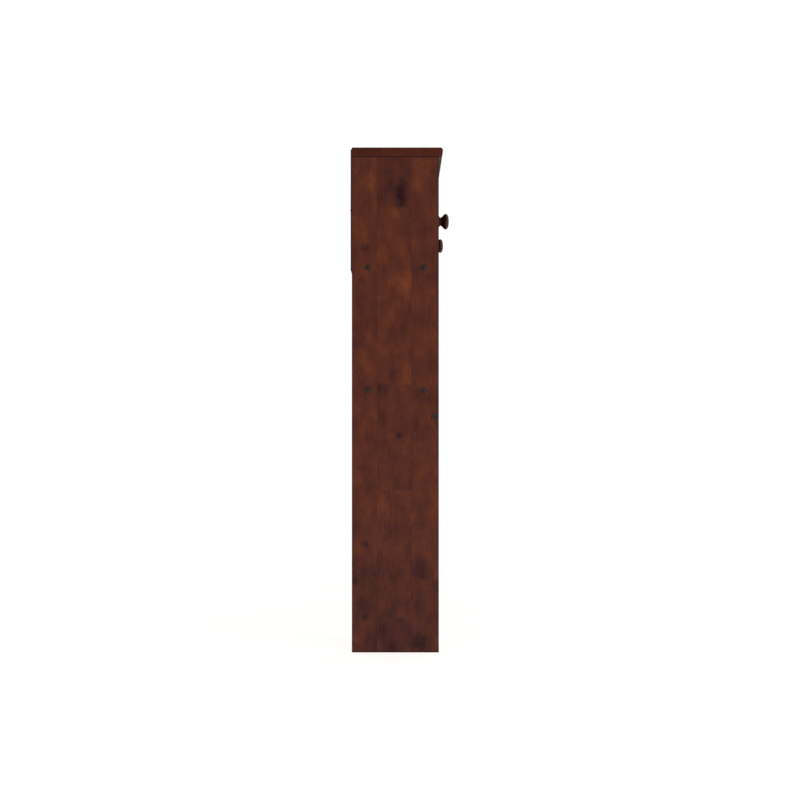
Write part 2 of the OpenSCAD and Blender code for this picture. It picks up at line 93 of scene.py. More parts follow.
# reach and depth of the painted shadow in the joint where the top board overhangs a side panel
JOINT_SHADOW = (2.2 * MM, -0.6)


def linear(code):
    """An sRGB hex code as a linear colour with alpha."""
    parts = [int(code[i:i + 2], 16) / 255 for i in (0, 2, 4)]
    return tuple(p / 12.92 if p <= 0.04045 else ((p + 0.055) / 1.055) ** 2.4 for p in parts) + (1.0,)


# ---------------------------------------------------------------- sizes and colours


def length(name, description, millimetres):
    """A length property with its default in millimetres."""
    return FloatProperty(name=name, description=description, default=millimetres * MM, min=0.0, unit="LENGTH")


def colour(name, description, code):
    """A colour property with its default as an sRGB hex code."""
    return FloatVectorProperty(name=name, description=description, default=linear(code), size=4,
                               min=0.0, max=1.0, subtype="COLOR")


class HallTreeSizes(bpy.types.PropertyGroup):
    board_ease: length("Board edge", "Radius of the eased edges of the boards", 1.6)
    front_ease: length("Drawer front edge", "Radius of the edges of the drawer fronts", 2.4)
    small_ease: length("Small edge", "Radius of the edges of the drawer boxes and blocks", 0.8)
    top_upper_round: length("Top upper round", "Radius of the round on the top board's upper edge", 12.0)
    top_lower_round: length("Top lower round", "Radius of the slack round under it", 50.0)
    top_corner: length("Top corner", "Radius of the top board's front corners seen from above", 3.0)
    finger_pitch: length("Finger pitch", "Distance between the fingers of a finger joint", 4.0)
    finger_length: length("Finger length", "Length of the fingers of a finger joint", 10.0)
    ring_pitch: length("Growth ring", "Width of a growth ring in the pine", 4.2)
    knob_crown: length("Knob crown", "Length of the knob's domed crown", 12.5)
    knob_neck: length("Knob neck", "Distance of the neck from the knob's tip", 30.7)
    knob_neck_radius: length("Knob neck radius", "Radius of the knob's neck", 15.0)
    knob_flare: length("Knob flare", "Distance of the foot's flare from the knob's tip", 38.0)
    hook_voxel: length("Hook detail", "Size of the cells that the cast hooks are blended from", 0.9)
    knob_turns: IntProperty(name="Knob turns", description="Steps around a knob", default=72, min=24, max=128)


class HallTreeColours(bpy.types.PropertyGroup):
    stain_deep: colour("Deep stain", "Stain in knots and resinous streaks", "2c1413")
    stain_dark: colour("Dark stain", "Stain in thirsty earlywood", "43221f")
    stain_mid: colour("Stain", "Main colour of the red-brown stain", "5a2d1f")
    stain_light: colour("Light stain", "Stain on dense, pale wood", "7d4227")
    stain_end: colour("End grain stain", "Stain soaked into end grain", "461a0d")
    knob_dark: colour("Knob stain", "Dark stain of the turned knobs", "240b04")
    knob_red: colour("Knob light stain", "Stain where the knob's wood is dense", "40180a")
    back_dark: colour("Back", "Stained plywood of the back", "4e2a1e")
    back_edge: colour("Back edge", "Edge of the stained plywood", "2c150f")
    pine: colour("Bare pine", "Sanded pine inside the cabinet", "c39b6c")
    pine_dark: colour("Bare pine rings", "Latewood of the bare pine", "a3733f")
    bronze: colour("Bronze", "Powder coat of the hooks", "2b2420")
    black_zinc: colour("Black zinc", "Plating of the frame bolts", "544b48")
    zinc: colour("Bright zinc", "Plating of the screws and barrel nuts", "b4b1aa")
    floor: colour("Floor", "Pale studio floor", "a8a7a5")


# ---------------------------------------------------------------- materials


def add(tree, kind, inputs=(), stops=(), **settings):
    """Add a shader node with its settings and links, where a kind may be followed by its operation.
    Inputs are a dictionary, or a list in the sockets' order; a node stands for its first output."""
    kind, _, operation = kind.partition(" ")
    node = tree.nodes.new("ShaderNode" + kind)
    if operation:
        node.operation = operation
    for name, value in settings.items():
        setattr(node, name, value)
    for key, value in inputs.items() if isinstance(inputs, dict) else enumerate(inputs):
        if isinstance(value, bpy.types.Node):
            value = value.outputs[0]
        if isinstance(value, bpy.types.NodeSocket):
            tree.links.new(value, node.inputs[key])
        else:
            node.inputs[key].default_value = value
    for i, (place, shade) in enumerate(stops):
        element = node.color_ramp.elements[i] if i < 2 else node.color_ramp.elements.new(place)
        element.position = place
        element.color = shade
    return node


def new_material(name):
    """An empty node material and its tree."""
    material = bpy.data.materials.new(name)
    material.use_nodes = True
    material.node_tree.nodes.clear()
    return material, material.node_tree


def close_material(tree, surface, height=None, relief=0.0):
    """Wire a Principled surface, and its relief in metres, to the output."""
    if height is not None:
        bump = add(tree, "Bump", {"Height": height, "Distance": relief, "Strength": 1.0})
        tree.links.new(bump.outputs["Normal"], surface.inputs["Normal"])
    add(tree, "OutputMaterial", {"Surface": surface})


def toned(tint, factor):
    """A colour made lighter or darker by a factor."""
    return tuple(min(1.0, part * factor) for part in tint[:3]) + (1.0,)


Strip = namedtuple("Strip", "low high joints shades")
Mark = namedtuple("Mark", "across along wide tall strength knot")


def glue_up(node, along, across, count, seed):
    """The strips of an edge-glued board, with their finger joints and shades, and a few knots and stains."""
    draw = random.Random(seed)
    low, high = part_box(node)
    start, end = low[AXES[across]], high[AXES[across]]
    first, last = low[AXES[along]], high[AXES[along]]
    beyond = 50 * MM
    area_per_knot = 0.12
    seams = [start + (end - start) * (i + draw.uniform(-0.12, 0.12)) / count for i in range(1, count)]
    edges = [start - beyond] + seams + [end + beyond]
    strips = []
    for strip_low, strip_high in zip(edges, edges[1:]):
        joints = []
        place = first + draw.uniform(0.12, 0.5)
        while place < last - 0.06:
            joints.append(place)
            place += draw.uniform(0.26, 0.62)
        shades = [draw.uniform(-0.12, 0.12) for _ in range(len(joints) + 1)]
        strips.append(Strip(strip_low, strip_high, joints, shades))
    marks = []
    for _ in range(round((last - first) * (end - start) / area_per_knot)):
        size = draw.uniform(6 * MM, 11 * MM)
        marks.append(Mark(draw.uniform(start + 2 * size, end - 2 * size), draw.uniform(first, last),
                          size, size * draw.uniform(1.0, 1.6), -0.5, True))
        marks.append(Mark(draw.uniform(start, end), draw.uniform(first, last), draw.uniform(12 * MM, 30 * MM),
                          draw.uniform(40 * MM, 120 * MM), draw.uniform(-0.2, 0.16), False))
    return strips, marks


def strip_cells(tree, across, along, strips, sizes):
    """The shade of each glued-up piece of wood with its glue line, and the piece's own number."""
    half = sizes.finger_pitch / 2
    zigzag = add(tree, "Math PINGPONG", [across, half])
    fingers = add(tree, "Math MULTIPLY_ADD", [zigzag, sizes.finger_length / half, along])
    glue_line, glue_shade = 0.3 * MM, -0.14
    strip_step, piece_step = 1.7, 0.61
    shade = number = 0.0
    for i, strip in enumerate(strips):
        middle, reach = (strip.low + strip.high) / 2, (strip.high - strip.low) / 2
        inside = add(tree, "Math COMPARE", [across, middle, reach])
        shade = add(tree, "Math MULTIPLY_ADD", [inside, strip.shades[0], shade])
        number = add(tree, "Math MULTIPLY_ADD", [inside, strip_step * i, number])
        glue = add(tree, "Math COMPARE", [across, strip.low, glue_line])
        shade = add(tree, "Math MULTIPLY_ADD", [glue, glue_shade, shade])
        for joint, before, after in zip(strip.joints, strip.shades, strip.shades[1:]):
            past = add(tree, "Math GREATER_THAN", [fingers, joint + sizes.finger_length / 2])
            both = add(tree, "Math MULTIPLY", [inside, past])
            shade = add(tree, "Math MULTIPLY_ADD", [both, after - before, shade])
            number = add(tree, "Math MULTIPLY_ADD", [both, piece_step, number])
    return shade, number


def marks_on(tree, point, marks, value):
    """The shade with knots, stains and any broad painted-shade mark added, and how much the growth rings swell
    around the knots.
    """
    swell = 0.0
    wobble = add(tree, "TexNoise", {"Vector": point, "Scale": 60.0, "Detail": 2.0, "Roughness": 0.6})
    loose = add(tree, "VectorMath SUBTRACT", [wobble.outputs["Color"], (0.5, 0.5, 0.5)])
    for mark in marks:
        bend = (0.2 * mark.wide, 0.0, 0.2 * mark.wide) if mark.knot else (0.02, 0.0, 0.05)
        bent = add(tree, "VectorMath MULTIPLY_ADD", [loose, bend, point])
        turned = add(tree, "Mapping", {"Vector": bent, "Scale": (1 / mark.wide, 0.0, 1 / mark.tall),
                                       "Location": (-mark.across / mark.wide, 0.0, -mark.along / mark.tall)})
        far = add(tree, "VectorMath LENGTH", [turned]).outputs["Value"]
        inner, outer = (0.35, 1.3) if mark.knot else (0.2, 1.35)
        core = add(tree, "MapRange", [far, inner, outer, mark.strength, 0.0], interpolation_type="SMOOTHSTEP")
        value = add(tree, "Math ADD", [value, core])
        if mark.knot:
            near = add(tree, "MapRange", [far, 0.0, 4.0, 3 * mark.wide, 0.0],
                       interpolation_type="SMOOTHERSTEP")
            swell = add(tree, "Math ADD", [swell, near])
    return value, swell


def growth_rings(tree, wood, streak, swell, pitch):
    """Bands of latewood around a pith that drifts 20 to 80 mm behind the middle of the board."""
    slow = add(tree, "VectorMath MULTIPLY", [wood, (1.5, 0.0, 1.1)])
    drift = add(tree, "TexNoise", {"Vector": slow, "Scale": 1.0, "Detail": 1.0})
    apart = add(tree, "SeparateXYZ", [wood]).outputs
    sideways = add(tree, "Math PINGPONG", [apart["X"], 90 * MM])
    pith = add(tree, "Math MULTIPLY_ADD", [drift, 160 * MM, -30 * MM])
    pith = add(tree, "Math ADD", [pith, apart["Y"]])
    square = add(tree, "Math MULTIPLY", [sideways, sideways])
    square = add(tree, "Math MULTIPLY_ADD", [pith, pith, square])
    radius = add(tree, "Math SQRT", [square])
    radius = add(tree, "Math ADD", [radius, swell])
    radius = add(tree, "Math MULTIPLY_ADD", [streak, 3 * MM, radius])
    ring = add(tree, "Math DIVIDE", [radius, pitch])
    ring = add(tree, "Math FRACT", [ring])
    rise = add(tree, "MapRange", [ring, 0.3, 0.9], interpolation_type="SMOOTHSTEP")
    fall = add(tree, "MapRange", [ring, 0.9, 1.0, 1.0, 0.0], interpolation_type="SMOOTHSTEP")
    return add(tree, "Math MULTIPLY", [rise, fall])


def pine(node, along, across, wood_plan, gloss=True, creases=(), rub=-0.12, bolts=()):
    """Edge-glued, finger-jointed pine, planed and sanded: soft earlywood that drinks stain, harder
    latewood rings, resin streaks and knots. Stained boards carry a satin lacquer, bare ones are matt.
    A shaded band is an axis, a level, a reach and a depth of painted shade along a joint or an edge,
    the edge shade paints shade on the eased edges, and a painted shadow darkens the wood just around the bolts."""
    sizes = bpy.context.scene.hall_tree_sizes
    tints = bpy.context.scene.hall_tree_colours
    strips, marks = wood_plan
    contrast = 0.8 if gloss else 1.0
    material, tree = new_material(("stained_pine_" if gloss else "bare_pine_") + node)
    source = add(tree, "TexCoord").outputs
    split = add(tree, "SeparateXYZ", [source["Object"]]).outputs
    thick = ({"X", "Y", "Z"} - {along, across}).pop()
    low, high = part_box(node)
    heart = (low[AXES[thick]] + high[AXES[thick]]) / 2
    behind = add(tree, "Math SUBTRACT", [split[thick], heart])
    grain = add(tree, "CombineXYZ", [split[across], behind, split[along]])
    shade, number = strip_cells(tree, split[across], split[along], strips, sizes)

    # each piece of wood reads its own part of the patterns
    own = add(tree, "CombineXYZ", [number, number, number])
    wood = add(tree, "VectorMath MULTIPLY_ADD", [own, (0.37, 0.0, 1.9), grain])
    # clouds of stain about 45 mm wide and 75 mm long, long streaks about 5 mm wide, and fibres 0.8 mm wide,
    # drawn coarser than real ones so that they show
    patterns = []
    for stretch, detail, roughness in (((22.0, 22.0, 13.0), 5.0, 0.6), ((210.0, 210.0, 5.0), 3.0, 0.6),
                                       ((1250.0, 1250.0, 75.0), 2.0, 0.55)):
        stretched = add(tree, "VectorMath MULTIPLY", [wood, stretch])
        patterns.append(add(tree, "TexNoise", {"Vector": stretched, "Scale": 1.0, "Detail": detail,
                                               "Roughness": roughness}))
    cloud, streak, fibre = patterns

    value = add(tree, "Math MULTIPLY_ADD", [cloud, 1.15 * contrast, 0.475 - 0.575 * contrast])
    value = add(tree, "Math ADD", [value, shade])
    value, swell = marks_on(tree, grain, marks, value)
    latewood = growth_rings(tree, wood, streak, swell, sizes.ring_pitch)
    value = add(tree, "Math MULTIPLY_ADD", [latewood, -0.09 * contrast, value])
    for pattern, strength in ((streak, 0.2), (fibre, 0.3)):
        fine = add(tree, "Math SUBTRACT", [pattern, 0.5])
        value = add(tree, "Math MULTIPLY_ADD", [fine, strength * contrast, value])

    # end grain drinks more stain; painted shade darkens eased edges, joint and edge bands, and rings around
    # bolts
    bare = add(tree, "VectorMath ABSOLUTE", [source["Normal"]])
    facing = add(tree, "SeparateXYZ", [bare]).outputs
    end_grain = add(tree, "MapRange", [facing[along], 0.6, 0.95, 0.0, 0.6])
    flat = add(tree, "Math MAXIMUM", [facing["X"], facing["Y"]])
    flat = add(tree, "Math MAXIMUM", [flat, facing["Z"]])
    # painted shade: the eased edges, turned away from the flat faces, are darkened
    rubbed = add(tree, "MapRange", [flat, 0.75, 0.98, rub, 0.0])
    value = add(tree, "Math ADD", [value, rubbed])
    # painted shade: dark bands beside a joint or along an edge
    for axis, level, reach, depth in creases:
        off = add(tree, "Math SUBTRACT", [split[axis], level])
        off = add(tree, "Math ABSOLUTE", [off])
        band_shade = add(tree, "MapRange", [off, 0.7 * reach, reach, depth, 0.0])
        beside = add(tree, "MapRange", [facing[axis], 0.7, 0.9, 1.0, 0.0])
        value = add(tree, "Math MULTIPLY_ADD", [band_shade, beside, value])
    # painted shadow: a dark ring on the wood just around each bolt head
    bolt_shadow_width, bolt_shadow_depth = 2.6 * MM, -0.35
    for bolt in bolts:
        away = add(tree, "VectorMath DISTANCE", [source["Object"], bolt.head]).outputs["Value"]
        bolt_shadow = add(tree, "MapRange", [away, bolt.radius, bolt.radius + bolt_shadow_width, bolt_shadow_depth, 0.0])
        value = add(tree, "Math ADD", [value, bolt_shadow])

    if gloss:
        stops = [(0.0, tints.stain_deep), (1.0, tints.stain_light), (0.24, tints.stain_dark),
                 (0.52, tints.stain_mid)]
        soaked, dull, gleam, depth = tints.stain_end, (0.34, 0.46), 0.08, 0.05 * MM
    else:
        stops = [(0.0, tints.pine_dark), (0.7, tints.pine)]
        soaked, dull, gleam, depth = tints.pine_dark, (0.55, 0.75), 0.25, 0.12 * MM
    shades = add(tree, "ValToRGB", [value], stops=stops)
    shades = add(tree, "Mix", {"Factor": end_grain, 6: shades, 7: soaked}, data_type="RGBA").outputs[2]
    rough = add(tree, "MapRange", [streak, 0.0, 1.0, *dull])
    surface = add(tree, "BsdfPrincipled", {"Base Color": shades, "Roughness": rough, "IOR": 1.5,
                                           "Specular IOR Level": gleam})
    relief = add(tree, "Math ADD", [fibre, latewood])
    close_material(tree, surface, relief, depth)
    return material


def glued_pine(node, along, across, count, seed, **finish):
    """Pine for a board that is glued up from a number of strips."""
    return pine(node, along, across, glue_up(node, along, across, count, seed), **finish)


def facing_axis(tree, axis):
    """How squarely the surface faces along an axis, either way."""
    normal = add(tree, "SeparateXYZ", [add(tree, "TexCoord").outputs["Normal"]]).outputs[axis]
    return add(tree, "Math ABSOLUTE", [normal])


def plywood(name, node, face, edge, thick):
    """Three-ply board with its grain along X: rotary-cut veneer with open grain, and layers on its edges."""
    low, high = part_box(node)
    origin = low[AXES[thick]]
    layer = (high[AXES[thick]] - origin) / 3
    material, tree = new_material(name)
    split = add(tree, "SeparateXYZ", [add(tree, "TexCoord").outputs["Object"]]).outputs
    other = ({"Y", "Z"} - {thick}).pop()
    grain = add(tree, "CombineXYZ", [split[other], split[thick], split["X"]])
    # veneer figure about 12 mm wide, with pores drawn 1 mm wide so that they show
    figure = add(tree, "VectorMath MULTIPLY", [grain, (80.0, 30.0, 3.0)])
    figure = add(tree, "TexNoise", {"Vector": figure, "Scale": 1.0, "Detail": 4.0, "Distortion": 0.8})
    pores = add(tree, "VectorMath MULTIPLY", [grain, (1000.0, 300.0, 60.0)])
    pores = add(tree, "TexNoise", {"Vector": pores, "Scale": 1.0, "Detail": 1.0})
    value = add(tree, "Math MULTIPLY_ADD", [pores, 0.5, figure])
    veneer = add(tree, "ValToRGB", [value], stops=[(0.45, edge), (1.0, face)])
    level = add(tree, "Math SUBTRACT", [split[thick], origin])
    level = add(tree, "Math DIVIDE", [level, layer])
    level = add(tree, "Math PINGPONG", [level, 1.0])
    level = add(tree, "MapRange", [level, 0.45, 0.55])
    core = add(tree, "Mix", {"Factor": level, 6: edge, 7: veneer}, data_type="RGBA").outputs[2]
    facing = add(tree, "MapRange", [facing_axis(tree, thick), 0.4, 0.8])
    shades = add(tree, "Mix", {"Factor": facing, 6: core, 7: veneer}, data_type="RGBA").outputs[2]
    surface = add(tree, "BsdfPrincipled", {"Base Color": shades, "Roughness": 0.55, "IOR": 1.5,
                                           "Specular IOR Level": 0.1})
    close_material(tree, surface, pores, 0.08 * MM)
    return material


def turned_wood(name):
    """Turned beech under dark stain and lacquer: fine streaks along the axis and a soft gleam."""
    tints = bpy.context.scene.hall_tree_colours
    material, tree = new_material(name)
    place = add(tree, "TexCoord").outputs["Object"]
    streaks = add(tree, "VectorMath MULTIPLY", [place, (420.0, 26.0, 420.0)])
    streaks = add(tree, "TexNoise", {"Vector": streaks, "Scale": 1.0, "Detail": 3.0, "Roughness": 0.6})
    clouds = add(tree, "TexNoise", {"Vector": place, "Scale": 45.0, "Detail": 2.0})
    value = add(tree, "Math MULTIPLY", [streaks, clouds])
    shades = add(tree, "ValToRGB", [value], stops=[(0.12, tints.knob_dark), (0.42, tints.knob_red)])
    rough = add(tree, "MapRange", [clouds, 0.0, 1.0, 0.2, 0.34])
    surface = add(tree, "BsdfPrincipled", {"Base Color": shades, "Roughness": rough, "IOR": 1.5,
                                           "Specular IOR Level": 0.25})
    close_material(tree, surface, streaks, 0.03 * MM)
    return material


def powder_coat(name):
    """Cast iron under bronze powder coat: fine orange peel over the soft unevenness of the casting,
    with the coat a little lighter where it is thin."""
    bronze = bpy.context.scene.hall_tree_colours.bronze
    material, tree = new_material(name)
    place = add(tree, "TexCoord").outputs["Object"]
    peel = add(tree, "TexNoise", {"Vector": place, "Scale": 1400.0, "Detail": 1.0})
    cast = add(tree, "TexNoise", {"Vector": place, "Scale": 160.0, "Detail": 3.0})
    shades = add(tree, "ValToRGB", [cast], stops=[(0.35, bronze), (0.8, toned(bronze, 1.9))])
    rough = add(tree, "MapRange", [cast, 0.0, 1.0, 0.3, 0.5])
    surface = add(tree, "BsdfPrincipled", {"Base Color": shades, "Metallic": 0.6, "Roughness": rough})
    relief = add(tree, "Math MULTIPLY_ADD", [cast, 3.0, peel])
    close_material(tree, surface, relief, 0.06 * MM)
    return material


def plated_steel(name, tint, rough_low, rough_high, rim=1.0):
    """Zinc-plated, cold-headed steel: faint tumbling marks, uneven dullness, and painted shade that
    darkens the rim of a head that faces along X."""
    material, tree = new_material(name)
    place = add(tree, "TexCoord").outputs["Object"]
    dull = add(tree, "TexNoise", {"Vector": place, "Scale": 300.0, "Detail": 3.0})
    scratch = add(tree, "TexNoise", {"Vector": place, "Scale": 1500.0, "Detail": 2.0, "Distortion": 2.0})
    shades = add(tree, "ValToRGB", [dull], stops=[(0.3, toned(tint, 0.7)), (0.7, tuple(tint))])
    # painted shade: the rounded rim of a head, turned away from X, is darkened by the rim factor
    facing = add(tree, "MapRange", [facing_axis(tree, "X"), 0.8, 0.99, rim])
    shades = add(tree, "VectorMath SCALE", {0: shades, "Scale": facing})
    rough = add(tree, "MapRange", [dull, 0.0, 1.0, rough_low, rough_high])
    surface = add(tree, "BsdfPrincipled", {"Base Color": shades, "Metallic": 1.0, "Roughness": rough})
    close_material(tree, surface, scratch, 0.01 * MM)
    return material


# ---------------------------------------------------------------- building pieces


def quarter_turn(steps):
    """The angles from 0 to 90 degrees in even steps."""
    return [math.radians(90 * i / steps) for i in range(steps + 1)]


def aimed(place, direction):
    """The transform that turns +Z to a direction and moves it to a place."""
    turn = Vector((0, 0, 1)).rotation_difference(direction).to_matrix().to_4x4()
    return Matrix.Translation(place) @ turn


def placed(name, data):
    """A new object in the scene."""
    item = bpy.data.objects.new(name, data)
    bpy.context.scene.collection.objects.link(item)
    return item


def mesh_of(bm, name):
    """A mesh from a bmesh, with its faces pointing outwards."""
    bmesh.ops.recalc_face_normals(bm, faces=bm.faces[:])
    mesh = bpy.data.meshes.new(name)
    bm.to_mesh(mesh)
    bm.free()
    return mesh


def block(bm, low, high, ease):
    """A board between two corners with all its edges rounded."""
    low, high = Vector(low), Vector(high)
    made = bmesh.ops.create_cube(bm, size=1.0)["verts"]
    bmesh.ops.scale(bm, vec=high - low, verts=made)
    bmesh.ops.translate(bm, vec=(low + high) / 2, verts=made)
    edges = list({edge for vert in made for edge in vert.link_edges})
    bmesh.ops.bevel(bm, geom=edges, offset=ease, offset_type="OFFSET", segments=3, profile=0.5,
                    affect="EDGES", clamp_overlap=True, material=-1)


def rod(bm, radius, start, end, segments=40):
    """A plain closed cylinder from one point to another."""
    start, end = Vector(start), Vector(end)
    line = end - start
    bmesh.ops.create_cone(bm, cap_ends=True, segments=segments, radius1=radius, radius2=radius,
                          depth=line.length, matrix=aimed((start + end) / 2, line))


def lathe(name, outline, steps):
    """A mesh turned around Z from (radius, height) points; points on the axis close its ends."""
    bm = bmesh.new()
    verts = [bm.verts.new((radius, 0.0, height)) for radius, height in outline]
    edges = [bm.edges.new(pair) for pair in zip(verts, verts[1:])]
    bmesh.ops.spin(bm, geom=verts + edges, cent=(0, 0, 0), axis=(0, 0, 1), angle=2 * math.pi, steps=steps,
                   use_merge=True)
    bmesh.ops.remove_doubles(bm, verts=bm.verts[:], dist=1e-7)
    return mesh_of(bm, name)


def shaped(mesh, name, **modifiers):
    """The mesh as it is after modifiers; each is given as its type and settings."""
    helper = placed(name, mesh)
    for kind, settings in modifiers.items():
        modifier = helper.modifiers.new(kind, kind)
        for key, value in settings.items():
            setattr(modifier, key, value)
    graph = bpy.context.evaluated_depsgraph_get()
    result = bpy.data.meshes.new_from_object(helper.evaluated_get(graph))
    bpy.data.objects.remove(helper)
    result.name = name
    return result


def cut(mesh, cutter_bm, name):
    """The mesh with the cutter's solids taken out of it."""
    cutter = placed(name + "_cutter", mesh_of(cutter_bm, name + "_cutter"))
    settings = {"object": cutter, "operation": "DIFFERENCE", "solver": "EXACT", "use_self": True}
    result = shaped(mesh, name, BOOLEAN=settings)
    bpy.data.objects.remove(cutter)
    return result


def dress(node, material):
    """Give a CAD node that stays as it is its finish."""
    mesh = NODES[node].data
    mesh.materials.clear()
    mesh.materials.append(material)


def finish_piece(name, mesh, material, node, smooth_angle=40):
    """Make a mesh the piece that stands for a CAD node, rides on its body and takes its finish."""
    mesh.shade_smooth()
    mesh.set_sharp_from_angle(angle=math.radians(smooth_angle))
    mesh.materials.clear()
    mesh.materials.append(material)
    piece = placed(name, mesh)
    even = piece.modifiers.new("Even normals", "WEIGHTED_NORMAL")
    even.keep_sharp = True
    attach(piece, NODES[node]["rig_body"])
    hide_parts(node)


def board_piece(node, material, ease, holes=None):
    """An eased board in the place of a CAD node, with holes cut into it where a fastener shows."""
    name = node + "_board"
    bm = bmesh.new()
    block(bm, *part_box(node), ease)
    mesh = mesh_of(bm, name)
    if holes is not None:
        mesh = cut(mesh, holes, name)
    finish_piece(name, mesh, material, node)


# ---------------------------------------------------------------- screws, bolts and nuts


Fastener = namedtuple("Fastener", "head into length radius")


def loose_parts(node):
    """The corner points of each separate solid of a CAD node."""
    bm = bmesh.new()
    bm.from_mesh(NODES[node].data)
    bmesh.ops.remove_doubles(bm, verts=bm.verts[:], dist=1e-6)
    parts = []
    waiting = set(bm.verts)
    while waiting:
        front = [waiting.pop()]
        part = []
        while front:
            vert = front.pop()
            part.append(vert.co.copy())
            for edge in vert.link_edges:
                other = edge.other_vert(vert)
                if other in waiting:
                    waiting.remove(other)
                    front.append(other)
        parts.append(part)
    bm.free()
    return sorted(parts, key=lambda part: tuple(round(c, 4) for c in min(part, key=lambda p: tuple(p))))


def fasteners(node):
    """Where each screw, bolt or nut of a CAD node has its head, where it points, and how big it is."""
    found = []
    for part in loose_parts(node):
        low = Vector([min(point[i] for point in part) for i in range(3)])
        high = Vector([max(point[i] for point in part) for i in range(3)])
        size = high - low
        axis = max(range(3), key=lambda i: size[i])
        middle = (low + high) / 2
        widths = {}
        for end in (low, high):
            near = [point for point in part if abs(point[axis] - end[axis]) < 0.15 * size[axis]]
            flat = [[point[i] - middle[i] for i in range(3) if i != axis] for point in near]
            widths[end[axis]] = max(math.hypot(*point) for point in flat)
        # the head is the wider end; a nut's ends are equal, and it shows its rear or its lower end
        head_level = max(widths, key=lambda level: (round(widths[level], 5), level if axis == 1 else -level))
        head = middle.copy()
        head[axis] = head_level
        into = Vector((0, 0, 0))
        into[axis] = 1.0 if head_level < middle[axis] else -1.0
        found.append(Fastener(head, into, size[axis], widths[head_level]))
    return found


def place_copies(shape, places, seed):
    """One mesh with a copy of a shape at each fastener, its slot turned to a chance angle."""
    draw = random.Random(seed)
    bm = bmesh.new()
    for place in places:
        before = set(bm.verts)
        bm.from_mesh(shape)
        made = [vert for vert in bm.verts if vert not in before]
        spin = Matrix.Rotation(draw.uniform(0, math.pi), 4, "Z")
        bmesh.ops.transform(bm, matrix=aimed(place.head, place.into) @ spin, verts=made)
    return mesh_of(bm, shape.name + "_set")


def screw_shape(name, radius, length_in, shank, dome=0.0, proud=0.0):
    """A cross-slotted screw along +Z with a flat or a domed head, whose top is at zero or proud of it."""
    rim = 0.25 * MM
    dome_lip = 0.02 * MM
    if dome > 0:
        outline = [(radius * math.sin(a), dome - dome * math.cos(a)) for a in quarter_turn(8)]
        outline += [(radius, dome + dome_lip), (shank, dome + dome_lip)]
    else:
        outline = [(0, 0), (radius - rim, 0), (radius, rim), (shank, radius - shank + rim)]
    tip = min(3 * MM, 0.3 * length_in)
    outline += [(shank, length_in - tip), (0, length_in)]
    mesh = lathe(name, outline, 32)

    # two crossed slots that narrow towards their bottom
    slots = bmesh.new()
    for turn in (0, 90):
        made = bmesh.ops.create_cube(slots, size=1.0)["verts"]
        bmesh.ops.scale(slots, vec=(1.15 * radius, 0.26 * radius, 1.1 * radius), verts=made)
        for vert in made:
            if vert.co.z > 0:
                vert.co.x *= 0.35
        bmesh.ops.translate(slots, vec=(0, 0, 0.1 * radius), verts=made)
        across = Matrix.Rotation(math.radians(turn), 3, "Z")
        bmesh.ops.rotate(slots, cent=(0, 0, 0), matrix=across, verts=made)
    mesh = cut(mesh, slots, name)
    mesh.transform(Matrix.Translation((0, 0, -proud)))
    return mesh


def bolt_shape(name, bolt, head_h):
    """A furniture bolt along +Z: broad flat head with a rounded rim, and a hex socket with a wide mouth."""
    shank, rim, socket, socket_depth = 3 * MM, 1.7 * MM, 2.6 * MM, 5 * MM
    end_chamfer = 0.7 * MM
    radius = bolt.radius
    outline = [(0, 0)]
    outline += [(radius - rim + rim * math.sin(a), rim - rim * math.cos(a)) for a in quarter_turn(6)]
    outline += [(radius, head_h), (shank, head_h), (shank, bolt.length - MM),
                (shank - end_chamfer, bolt.length), (0, bolt.length)]
    mesh = lathe(name, outline, 64)
    hexagon = bmesh.new()
    bmesh.ops.create_cone(hexagon, cap_ends=True, segments=6, radius1=socket, radius2=socket,
                          depth=2 * socket_depth)
    bmesh.ops.create_cone(hexagon, cap_ends=True, segments=36, radius1=socket + 1.5 * MM,
                          radius2=socket - 0.3 * MM, depth=1.8 * MM)
    return cut(mesh, hexagon, name)


def nut_shape(name, nut):
    """A barrel nut along +Z with a chamfered end and a screwdriver slot across it."""
    rim = 0.5 * MM
    slot_half, slot_depth = 0.8 * MM, 1.4 * MM
    radius = nut.radius
    mesh = lathe(name, [(0, 0), (radius - rim, 0), (radius, rim), (radius, nut.length), (0, nut.length)], 40)
    slot = bmesh.new()
    block(slot, (-2 * radius, -slot_half, -MM), (2 * radius, slot_half, slot_depth), 0.1 * MM)
    return cut(mesh, slot, name)


def round_holes(places, play=0.15 * MM):
    """Cutters for the round holes that barrel nuts and divider screws sit in."""
    bm = bmesh.new()
    for place in places:
        rod(bm, place.radius + play, place.head - MM * place.into, place.head + place.length * place.into)
    return bm


def countersinks(places, play=0.1 * MM):
    """Cutters for the countersunk holes under flat screw heads."""
    bm = bmesh.new()
    for place in places:
        depth = place.radius + play
        centre = place.head + place.into * (depth / 2 - play)
        bmesh.ops.create_cone(bm, cap_ends=True, segments=32, radius1=place.radius + 2 * play, radius2=play,
                              depth=depth, matrix=aimed(centre, place.into))
    return bm


# ---------------------------------------------------------------- operators


def light_up(name, kind, strength, place, look_at):
    """A light at a place that looks at a point."""
    light = placed(name, bpy.data.lights.new(name, kind))
    light.data.energy = strength
    light.location = place
    light.rotation_euler = (Vector(place) - look_at).to_track_quat("Z", "Y").to_euler()
    return light.data


